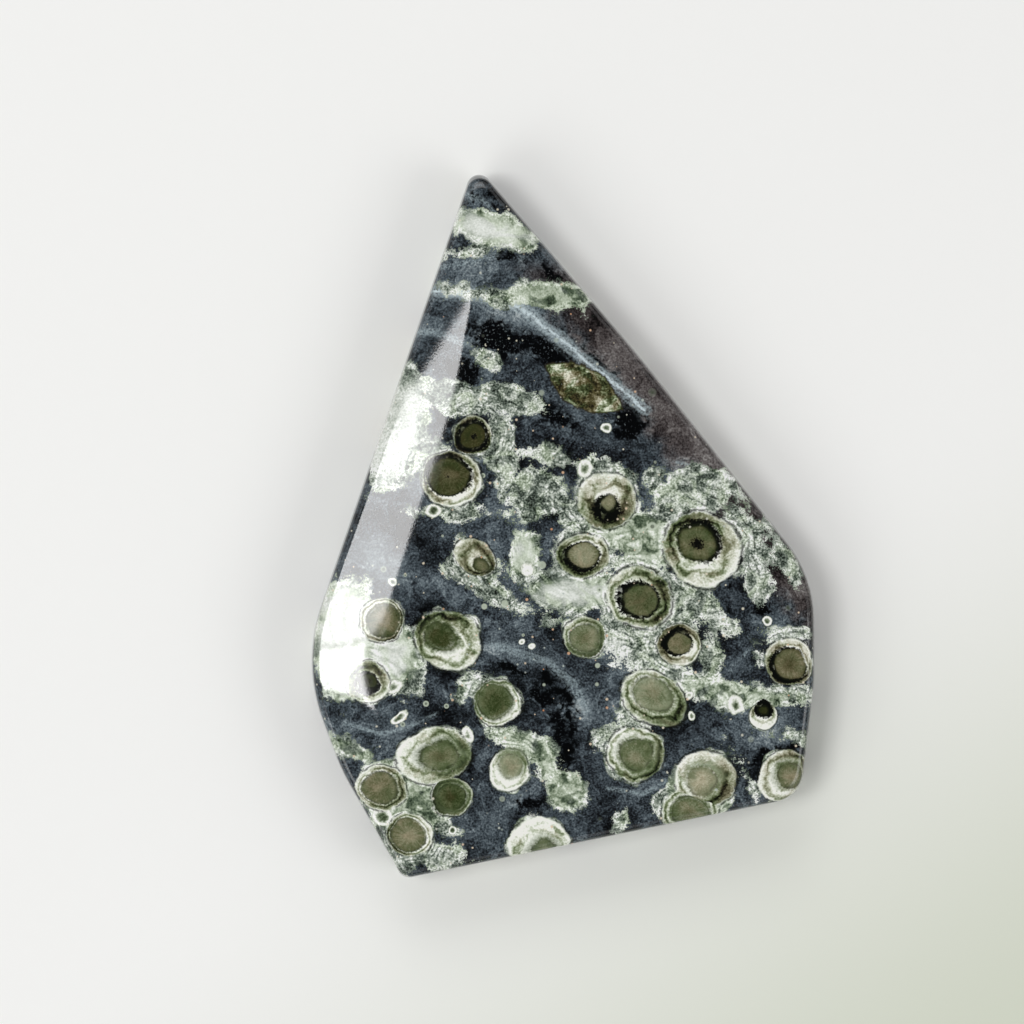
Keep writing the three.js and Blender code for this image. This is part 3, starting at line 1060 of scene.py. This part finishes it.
def addBeads(graph, p, colour):
    reach = formSettings["nothingNear"]
    for x, y, wide, tall, turn in beads.values():
        reach = graph.least(graph.length(p.places.ellipse(x, y, (wide, tall, 1.2), turn)), reach)
    reach = reach + (p.thread - 0.5) * 0.5
    tone = band(graph, reach, 0.85, 0.5) * 0.56 + (p.drift - 0.5) * 0.5 + (p.grain - 0.5) * 0.4 + 0.30
    return graph.blendColour(graph.rise(reach, 1.2, 1.04), colour, graph.ramp(tone, ramps["bead"]))


def mantleColour(graph, p, seed, hue, share, paleness):
    # pale, green and pale bands that wander between the core and the rim
    wander = share + (p.drift - 0.5) * 0.9 + (p.flow - 0.5) * 0.8 + graph.maths("SINE", seed * 5.0) * 0.12
    tone = paleness + 0.03 + (p.drift - 0.5) * 0.6 + (p.thread - 0.5) * 0.34 + (p.grain - 0.5) * 0.42
    tone = tone + band(graph, wander, 0.28, 0.26) * 0.22 - band(graph, wander, 0.64, 0.20) * 0.20
    tone = tone + band(graph, share, 0.95, 0.18) * 0.14 - band(graph, share, 0.02, 0.10) * 0.20
    browner = hue * 0.8 - 0.2 + (p.flow - 0.5) * 2.0
    return betweenRamps(graph, browner, tone, "green mantle", "brown mantle")


def coreColour(graph, p, seed, hue, light, share, fibres):
    # fine fibres, lighter or darker towards the middle
    tone = light + 0.015 + (fibres - 0.5) * 0.30 + (p.grain - 0.5) * 0.22 + (p.drift - 0.5) * 0.30
    tone = tone + graph.maths("SINE", share * 5.5 + seed) * 0.05 - graph.rise(share, 0.75, 1.0) * 0.05
    browner = hue + (p.drift - 0.5) * 2.0 + graph.rise(share, 0.7, 0.1) * 0.35 - 0.1
    return betweenRamps(graph, browner, tone, "green core", "brown core")


def addOrbs(graph, p, colour):
    local, core, ring, tone, pale = p.orb
    coreRadius = graph.split(core)[2]
    ringWidth = graph.split(ring)[2]
    hue, light, spot = graph.split(tone)
    flat = (1.0, 1.0, 0.0)
    fromCore = local - core * flat
    coreReach = graph.length(fromCore)
    direction = graph.maths("NORMALIZE", fromCore)
    seed = graph.dot(core, (31.7, 17.3, 53.9)) + graph.dot(tone, (13.1, 29.7, 7.3))
    fibres = graph.noise(direction * 9.0 + (seed + coreReach * 1.3), 1.0, 2.0, 0.65)
    teeth = (fibres - 0.5) * 0.20 + (p.grain - 0.5) * 0.18 + (p.thread - 0.5) * 0.18
    beyond = coreReach - coreRadius

    # the mantle, with a thin dark line outside
    share = beyond / graph.most(beyond + (1 - p.nearest), 0.05)
    paleness = graph.split(pale)[2] + graph.dot(direction, pale * flat) * 0.24
    wobbly = p.nearest + (p.thread - 0.5) * 0.14 + (p.grain - 0.5) * 0.08
    outline = band(graph, wobbly, 1.06, 0.07) * graph.rise(p.flow + p.thread, 0.86, 1.06)
    colour = graph.blendColour(outline * 0.85, colour, marks["orb outline"])
    mantle = mantleColour(graph, p, seed, hue, share, paleness)
    colour = graph.blendColour(graph.rise(wobbly, 1.04, 0.96), colour, mantle)

    # a black or dark green ring round the core
    ringEdge = ringWidth * (graph.dot(direction, ring * flat) + 1.0)
    greenness = clipped(graph, spot * -1.0)
    softness = greenness * 0.14 + 0.03
    ringMask = clipped(graph, (ringEdge - beyond - teeth) / softness * 0.5 + 0.5)
    ringMask = ringMask * graph.rise(ringEdge, 0.004, 0.02) * (graph.rise(p.thread, 0.34, 0.46) * 0.35 + 0.65)
    ringTone = light * 0.4 + 0.32 + (p.thread - 0.5) * 0.5 + (p.drift - 0.5) * 0.7
    ringColour = graph.blendColour(greenness, marks["black ring"], graph.ramp(ringTone, ramps["green ring"]))
    colour = graph.blendColour(ringMask, colour, ringColour)

    # the core with its outline and black spot
    coreLine = band(graph, beyond + teeth * 0.5, 0.04, 0.07) * graph.rise(p.thread, 0.40, 0.56)
    colour = graph.blendColour(coreLine * 0.75, colour, marks["core outline"])
    coreMask = clipped(graph, (teeth * -0.4 - beyond) / softness * 0.5 + 0.5)
    coreShare = coreReach / coreRadius
    colour = graph.blendColour(coreMask, colour, coreColour(graph, p, seed, hue, light, coreShare, fibres))
    spotMask = graph.rise(coreReach - spot + teeth * 1.2, 0.02, -0.03)
    spotMask = spotMask * graph.maths("GREATER_THAN", spot, 0.01)
    return coreMask, graph.blendColour(spotMask, colour, marks["black spot"])


def addAlmond(graph, p, colour):
    # olive and brown inside, pale towards its ends
    here = p.places.ellipse(*almond["at"], (*almond["size"], 3.0), almond["turn"])
    along, across, up = graph.split(here)
    pointed = along * along + graph.maths("ABSOLUTE", across) + up * up * 0.3
    pointed = pointed + (p.thread - 0.5) * 0.30 + (p.grain - 0.5) * 0.10
    tone = (p.drift - 0.5) * 1.5 + (p.thread - 0.5) * 0.5 + (p.grain - 0.5) * 0.8 + 0.36
    tone = tone + graph.rise(graph.length(here - (-0.5, 0.12, 0.0)), 0.6, 0.1) * 0.32
    tone = tone + graph.rise(graph.length(here - (0.62, -0.2, 0.0)), 0.4, 0.1) * 0.40
    tone = tone + band(graph, pointed, 0.90, 0.12) * 0.16
    inner = betweenRamps(graph, graph.rise(p.flow, 0.42, 0.56), tone, "green almond", "brown almond")
    outline = graph.rise(pointed, 1.12, 1.0) * p.onFace * 0.9
    colour = graph.blendColour(outline, colour, marks["almond outline"])
    return graph.blendColour(graph.rise(pointed, 1.03, 0.95) * p.onFace, colour, inner)


def addSpecks(graph, p, colour, coreMask):
    # cream and orange, and none on the orbs' cores
    distance, random, centre = graph.cells(p.place, patternSettings["speckSpacing"])
    chance, size, hue = graph.split(random)
    speck = graph.rise(distance / (0.05 + size * 0.12), 1.3, 0.6)
    speck = speck * graph.maths("GREATER_THAN", chance + (p.flow - 0.5) * 1.2, 0.5)
    return graph.blendColour(speck * 0.85 * (1 - coreMask), colour, graph.ramp(hue, ramps["speck"]))


def makeJasper(s):
    material = bpy.data.materials.new("polished kambaba jasper")
    material.use_nodes = True
    graph = Graph(material.node_tree)
    pattern = Pattern(graph)
    colour = groundColour(graph, pattern)
    foam, colour = addFoam(graph, pattern, colour)
    colour = addTinyRings(graph, pattern, colour)
    colour = addBeads(graph, pattern, colour)
    coreMask, colour = addOrbs(graph, pattern, colour)
    colour = addAlmond(graph, pattern, colour)
    colour = addSpecks(graph, pattern, colour, coreMask)
    colour = graph.least(colour * s["lift"], s["palest"])
    bump = graph.node("ShaderNodeBump", None, {
        "Strength": s["bumpStrength"], "Distance": s["bumpHeight"], "Height": pattern.grain,
    })
    surface = graph.node("ShaderNodeBsdfPrincipled", None, {
        "Base Color": colour, "Roughness": s["roughness"] + foam * s["foamRoughness"], "Normal": bump,
        "IOR": s["refraction"],
    })
    graph.node("ShaderNodeOutputMaterial", None, {"Surface": surface})
    print("jasper shaded with", len(graph.nodes), "nodes")
    return material


# Hand polish: the lapped face is blurred smooth and left very slightly wavy

polishSettings = {
    "Wave height": 0.000006,
    "Wave size": 0.011,
    "Smoothing": 12,
    "Seed": 4.0,
}


def makePolishTree():
    tree = bpy.data.node_groups.new("hand polish", "GeometryNodeTree")
    face = tree.interface
    face.new_socket("Geometry", in_out="INPUT", socket_type="NodeSocketGeometry")
    face.new_socket("Wave height", in_out="INPUT", socket_type="NodeSocketFloat")
    face.new_socket("Wave size", in_out="INPUT", socket_type="NodeSocketFloat")
    face.new_socket("Smoothing", in_out="INPUT", socket_type="NodeSocketInt")
    face.new_socket("Seed", in_out="INPUT", socket_type="NodeSocketFloat")
    face.new_socket("Material", in_out="INPUT", socket_type="NodeSocketMaterial")
    face.new_socket("Geometry", in_out="OUTPUT", socket_type="NodeSocketGeometry")
    graph = Graph(tree)
    given = graph.node("NodeGroupInput").socket.node
    wires = {socket.name: Wire(graph, socket) for socket in given.outputs if socket.name}
    depth = graph.node("GeometryNodeInputNamedAttribute", {"data_type": "FLOAT"}, {"Name": "depth"})
    position = graph.node("GeometryNodeInputPosition")
    x, y, z = graph.split(position)
    blurred = graph.node("GeometryNodeBlurAttribute", {"data_type": "FLOAT"}, {
        "Value": z, "Iterations": wires["Smoothing"],
    })
    onFace = graph.rise(depth, 3.0, 6.0)
    place = graph.node("ShaderNodeCombineXYZ", None, {"X": x, "Y": y, "Z": z}) / wires["Wave size"]
    wave = graph.node("ShaderNodeTexNoise", {"noise_dimensions": "4D"}, {
        "Vector": place, "W": wires["Seed"], "Scale": 1.0, "Detail": 1.0,
    })
    wavy = (wave - 0.5) * wires["Wave height"] * graph.rise(depth, 1.2, 3.0)
    lift = graph.maths("MULTIPLY", blurred - z, onFace) + wavy
    offset = graph.node("ShaderNodeCombineXYZ", None, {"Z": lift})
    moved = graph.node("GeometryNodeSetPosition", None, {"Geometry": wires["Geometry"], "Offset": offset})
    smooth = graph.node("GeometryNodeSetShadeSmooth", None, {"Geometry": moved})
    real = graph.node("GeometryNodeRealizeInstances", None, {"Geometry": smooth})
    finished = graph.node("GeometryNodeSetMaterial", None, {"Geometry": real, "Material": wires["Material"]})
    graph.node("NodeGroupOutput", None, {"Geometry": finished})
    return tree


def makeStone(mesh, material):
    rough = bpy.data.objects.new("stone rough", mesh)
    bpy.context.scene.collection.objects.link(rough)
    modifier = rough.modifiers.new("hand polish", "NODES")
    tree = makePolishTree()
    modifier.node_group = tree
    for item in tree.interface.items_tree:
        if item.in_out == "INPUT" and item.name in polishSettings:
            modifier[item.identifier] = polishSettings[item.name]
        elif item.in_out == "INPUT" and item.name == "Material":
            modifier[item.identifier] = material
    ready = rough.evaluated_get(bpy.context.evaluated_depsgraph_get())
    finished = bpy.data.meshes.new_from_object(ready)
    rough.modifiers.remove(modifier)
    bpy.data.objects.remove(rough)
    stone = bpy.data.objects.new("polished_stone", finished)
    bpy.context.scene.collection.objects.link(stone)
    return stone


stone = makeStone(stoneMesh, makeJasper(patternSettings))
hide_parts("stone")
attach(stone, "root")
print("stone polished", len(stone.data.polygons), "faces")


# Floor, lights and the room that the polish mirrors

studio = {
    "floorSize": 4.0,
    "floorPale": (248, 248, 246),
    # painted shade: the floor is painted darker and slightly greener towards the lower right
    "floorPaintedShade": (212, 217, 200),
    "shadeTowards": (0.55, -0.85),
    "shadeFrom": 10.0,  # millimetres that way from the stone's middle
    "shadeTo": 75.0,
    "floorSpeckle": (225, 226, 222),
    "sideLights": (100, 220, 340),  # degrees round the stone, away from what its long edges mirror
    "sideDistance": 1.25,
    "sideHeight": 1.15,
    "sideSize": 0.8,
    "sidePower": 4.1,
    "glossHeight": 1.0,
    "glossLights": {  # middle x and y, width and depth, power
        "upper": (-0.386, 0.075, 0.336, 0.15, 1.6),
        "lower": (-0.41, -0.065, 0.336, 0.106, 2.0),
    },
    "roomLow": (0.15, 0.35),  # upward share of the direction between which the room grows pale
    "roomHigh": (0.72, 0.88),  # and dark again
    "roomPale": 0.66,
    "roomDark": 0.012,
}


def makeFloor(s):
    half = s["floorSize"] / 2
    mesh = bpy.data.meshes.new("floor")
    corners = [(-half, -half, 0), (half, -half, 0), (half, half, 0), (-half, half, 0)]
    mesh.from_pydata(corners, [], [(0, 1, 2, 3)])
    floor = bpy.data.objects.new("floor", mesh)
    bpy.context.scene.collection.objects.link(floor)
    material = bpy.data.materials.new("pale floor")
    material.use_nodes = True
    graph = Graph(material.node_tree)
    place = graph.node("ShaderNodeTexCoord", None, None, "Object") * (1 / millimetre)
    x, y, z = graph.split(place)
    shadeX, shadeY = s["shadeTowards"]
    # painted shade: darker and slightly greener away from the stone, towards the lower right
    paintedShadeShare = graph.rise(x * shadeX + y * shadeY, s["shadeFrom"], s["shadeTo"])
    colour = graph.blendColour(paintedShadeShare, shade(*s["floorPale"]), shade(*s["floorPaintedShade"]))
    speckle = graph.noise(place, 2.0, 3.0)
    colour = graph.blendColour(speckle * 0.04, colour, shade(*s["floorSpeckle"]))
    surface = graph.node("ShaderNodeBsdfPrincipled", None, {"Base Color": colour, "Roughness": 0.9})
    graph.node("ShaderNodeOutputMaterial", None, {"Surface": surface})
    mesh.materials.append(material)


def makeAreaLight(name, place, size, power, aim=(0.0, 0.0, 0.0)):
    data = bpy.data.lights.new(name, "AREA")
    data.shape = "RECTANGLE"
    data.size, data.size_y = size
    data.energy = power
    light = bpy.data.objects.new(name, data)
    light.location = place
    light.rotation_euler = (Vector(aim) - Vector(place)).to_track_quat("-Z", "Y").to_euler()
    bpy.context.scene.collection.objects.link(light)


def makeRoom(s):
    # pale at middle height and dark overhead, so that the flat face mirrors next to nothing
    world = bpy.data.worlds.new("studio room")
    world.use_nodes = True
    bpy.context.scene.world = world
    graph = Graph(world.node_tree)
    direction = graph.node("ShaderNodeTexCoord", None, None, "Object")
    upward = graph.split(graph.maths("NORMALIZE", direction))[2]
    ring = graph.rise(upward, *s["roomLow"]) * graph.rise(upward, *reversed(s["roomHigh"]))
    level = ring * (s["roomPale"] - s["roomDark"]) + s["roomDark"]
    background = graph.node("ShaderNodeBackground", None, {"Color": (1.0, 1.0, 1.0, 1.0), "Strength": level})
    graph.node("ShaderNodeOutputWorld", None, {"Surface": background})


makeFloor(studio)
makeRoom(studio)
for turn in studio["sideLights"]:
    angle = math.radians(turn)
    out = studio["sideDistance"]
    spot = (out * math.cos(angle), out * math.sin(angle), studio["sideHeight"])
    sideSize = (studio["sideSize"], studio["sideSize"])
    makeAreaLight(f"side light at {turn}", spot, sideSize, studio["sidePower"])
for name, (x, y, wide, deep, power) in studio["glossLights"].items():
    makeAreaLight(f"{name} gloss light", (x, y, studio["glossHeight"]), (wide, deep), power, (x, y, 0.0))
print("studio lit")
